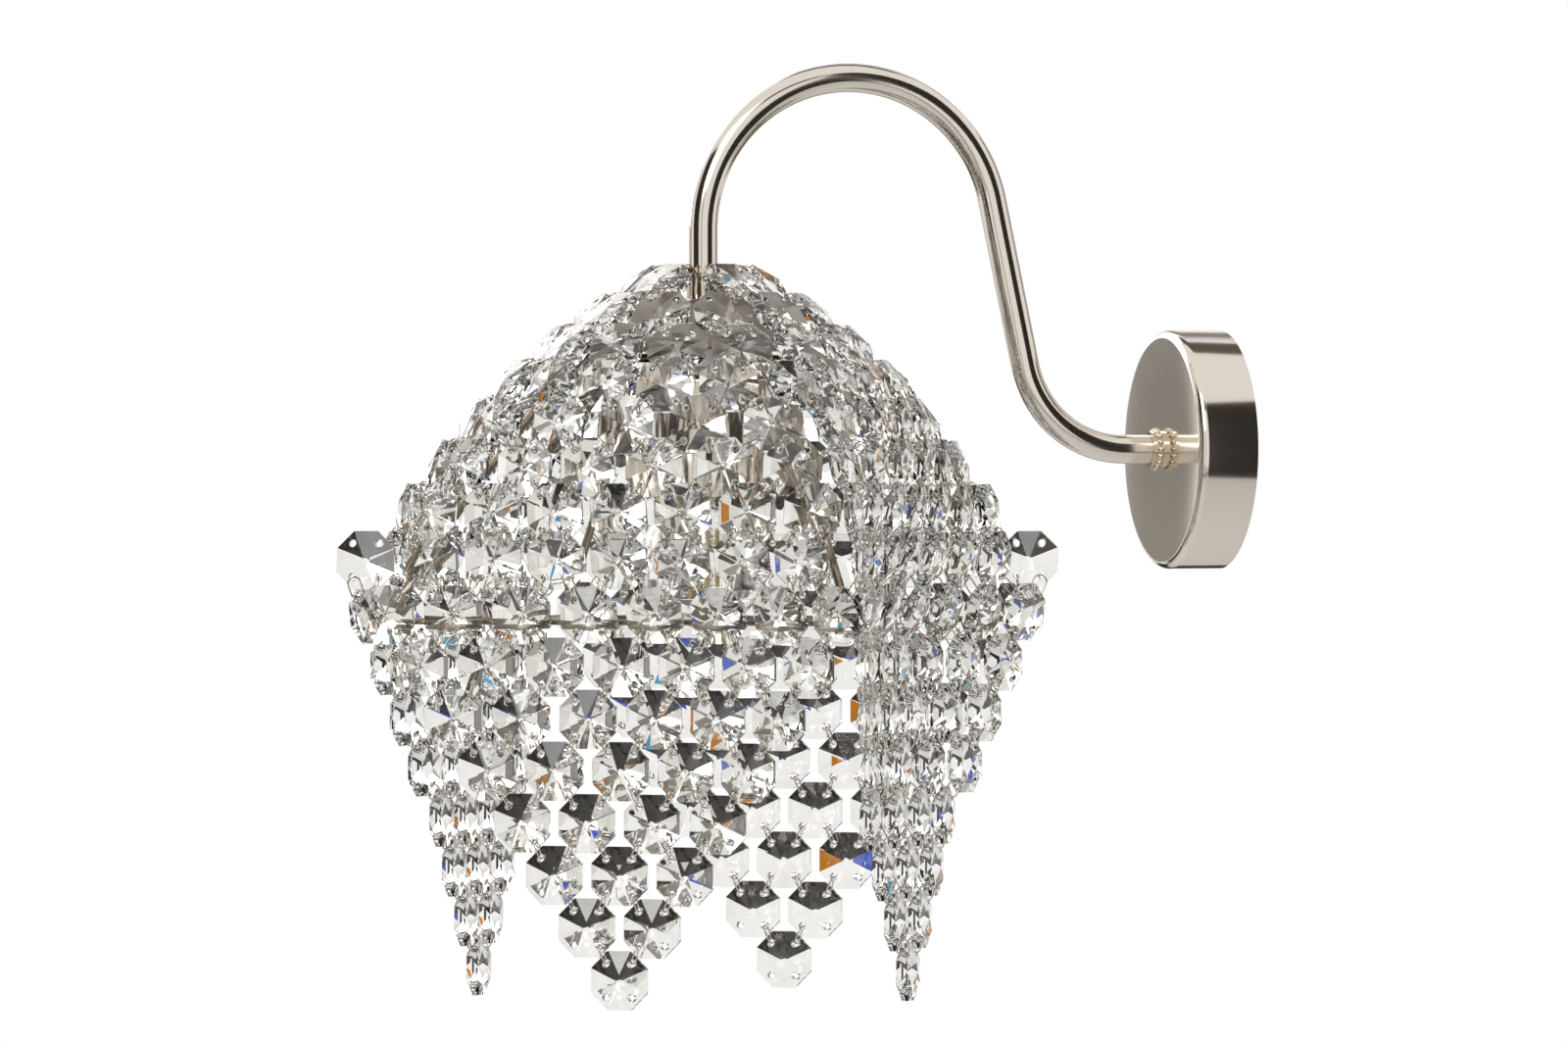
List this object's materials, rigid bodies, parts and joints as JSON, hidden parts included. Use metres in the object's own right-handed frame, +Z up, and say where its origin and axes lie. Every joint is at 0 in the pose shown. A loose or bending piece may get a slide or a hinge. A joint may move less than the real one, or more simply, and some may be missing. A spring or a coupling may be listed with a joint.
{
  "type": "crystal wall sconce",
  "caption": "Wall light with a round cup, a swan-neck arm and a four-cornered net shade of octagon crystals that hangs in four pennants round one lamp.",
  "frame": {"origin": "centre of the wall cup's back face, where it meets the wall", "axes": "+Y into the wall, -Y out along the arm, +Z up"},
  "size_m": [0.2687, 0.323, 0.3244],
  "materials": {
    "polished_nickel": "polished warm nickel",
    "bronzed_cap": "satin bronzed metal",
    "nickel_wire": "bright drawn wire",
    "crystal": "cut clear crystal",
    "white_insulator": "moulded, matt",
    "grey_bush": "moulded, matt",
    "bulb_glass": "clear blown glass",
    "brass": "bright pressed",
    "zinc_steel": "zinc plated"
  },
  "bodies": {
    "body": {"wall_cup": "polished_nickel", "wall_bracket": "zinc_steel", "cup_grub_screws": "zinc_steel", "terminal_block": "white_insulator", "terminal_screws": "zinc_steel", "earth_screw": "zinc_steel", "arm_tube": "polished_nickel", "arm_grub_screw": "polished_nickel", "beaded_collar": "polished_nickel", "arm_washer": "zinc_steel", "arm_lock_nut": "zinc_steel", "cable_bush": "grey_bush", "shade_nipple": "zinc_steel", "crown_disc": "polished_nickel", "nipple_spacers": "polished_nickel", "shade_cap": "bronzed_cap", "frame_hub": "zinc_steel", "nipple_nuts": "zinc_steel", "holder_cup": "polished_nickel", "lampholder_body": "white_insulator", "centre_contact": "brass", "rim_wires": "nickel_wire", "rib_outer": "nickel_wire", "rib_near": "nickel_wire", "rib_wall": "nickel_wire", "rib_far": "nickel_wire", "net_crown_crystals": "crystal", "net_row_3_crystals": "crystal", "net_row_4_crystals": "crystal", "net_row_5_crystals": "crystal", "net_row_6_crystals": "crystal", "net_row_7_crystals": "crystal", "net_row_8_crystals": "crystal", "net_row_9_crystals": "crystal", "net_upper_links": "nickel_wire", "net_lower_links": "nickel_wire", "pennant_front_upper_crystals": "crystal", "pennant_wall_upper_crystals": "crystal", "pennant_back_upper_crystals": "crystal", "pennant_outer_upper_crystals": "crystal", "pennant_upper_links": "nickel_wire"},
    "front_fringe": {"pennant_front_fringe_crystals": "crystal", "pennant_front_fringe_links": "nickel_wire"},
    "front_drop": {"pennant_front_drop_crystals": "crystal", "pennant_front_drop_links": "nickel_wire"},
    "wall_fringe": {"pennant_wall_fringe_crystals": "crystal", "pennant_wall_fringe_links": "nickel_wire"},
    "wall_drop": {"pennant_wall_drop_crystals": "crystal", "pennant_wall_drop_links": "nickel_wire"},
    "back_fringe": {"pennant_back_fringe_crystals": "crystal", "pennant_back_fringe_links": "nickel_wire"},
    "back_drop": {"pennant_back_drop_crystals": "crystal", "pennant_back_drop_links": "nickel_wire"},
    "outer_fringe": {"pennant_outer_fringe_crystals": "crystal", "pennant_outer_fringe_links": "nickel_wire"},
    "outer_drop": {"pennant_outer_drop_crystals": "crystal", "pennant_outer_drop_links": "nickel_wire"},
    "bulb": {"bulb_cap": "brass", "bulb_glass": "bulb_glass"}
  },
  "joints": [
    {"name": "front_fringe_swing", "type": "hinge", "parent": "body", "child": "front_fringe", "pos_m": [0.06538, -0.23769, -0.13535], "axis": [0.584, 0.8118, 0], "range_deg": [-25, 25]},
    {"name": "front_drop_swing", "type": "hinge", "parent": "front_fringe", "child": "front_drop", "pos_m": [0.06538, -0.23769, -0.17061], "axis": [0.584, 0.8118, 0], "range_deg": [-25, 25]},
    {"name": "wall_fringe_swing", "type": "hinge", "parent": "body", "child": "wall_fringe", "pos_m": [0.04547, -0.12898, -0.1349], "axis": [-0.7889, 0.6145, 0], "range_deg": [-25, 25]},
    {"name": "wall_drop_swing", "type": "hinge", "parent": "wall_fringe", "child": "wall_drop", "pos_m": [0.04547, -0.12898, -0.17002], "axis": [-0.7889, 0.6145, 0], "range_deg": [-25, 25]},
    {"name": "back_fringe_swing", "type": "hinge", "parent": "body", "child": "back_fringe", "pos_m": [-0.06557, -0.13954, -0.13538], "axis": [-0.5943, -0.8042, 0], "range_deg": [-25, 25]},
    {"name": "back_drop_swing", "type": "hinge", "parent": "back_fringe", "child": "back_drop", "pos_m": [-0.06557, -0.13954, -0.17066], "axis": [-0.5943, -0.8042, 0], "range_deg": [-25, 25]},
    {"name": "outer_fringe_swing", "type": "hinge", "parent": "body", "child": "outer_fringe", "pos_m": [-0.05024, -0.25569, -0.13546], "axis": [0.8054, -0.5927, 0], "range_deg": [-25, 25]},
    {"name": "outer_drop_swing", "type": "hinge", "parent": "outer_fringe", "child": "outer_drop", "pos_m": [-0.05024, -0.25569, -0.17077], "axis": [0.8054, -0.5927, 0], "range_deg": [-25, 25]},
    {"name": "bulb_turn", "type": "hinge", "parent": "body", "child": "bulb", "pos_m": [0, -0.1888, 0], "axis": [0, 0, 1], "range_deg": [0, 720]}
  ]
}
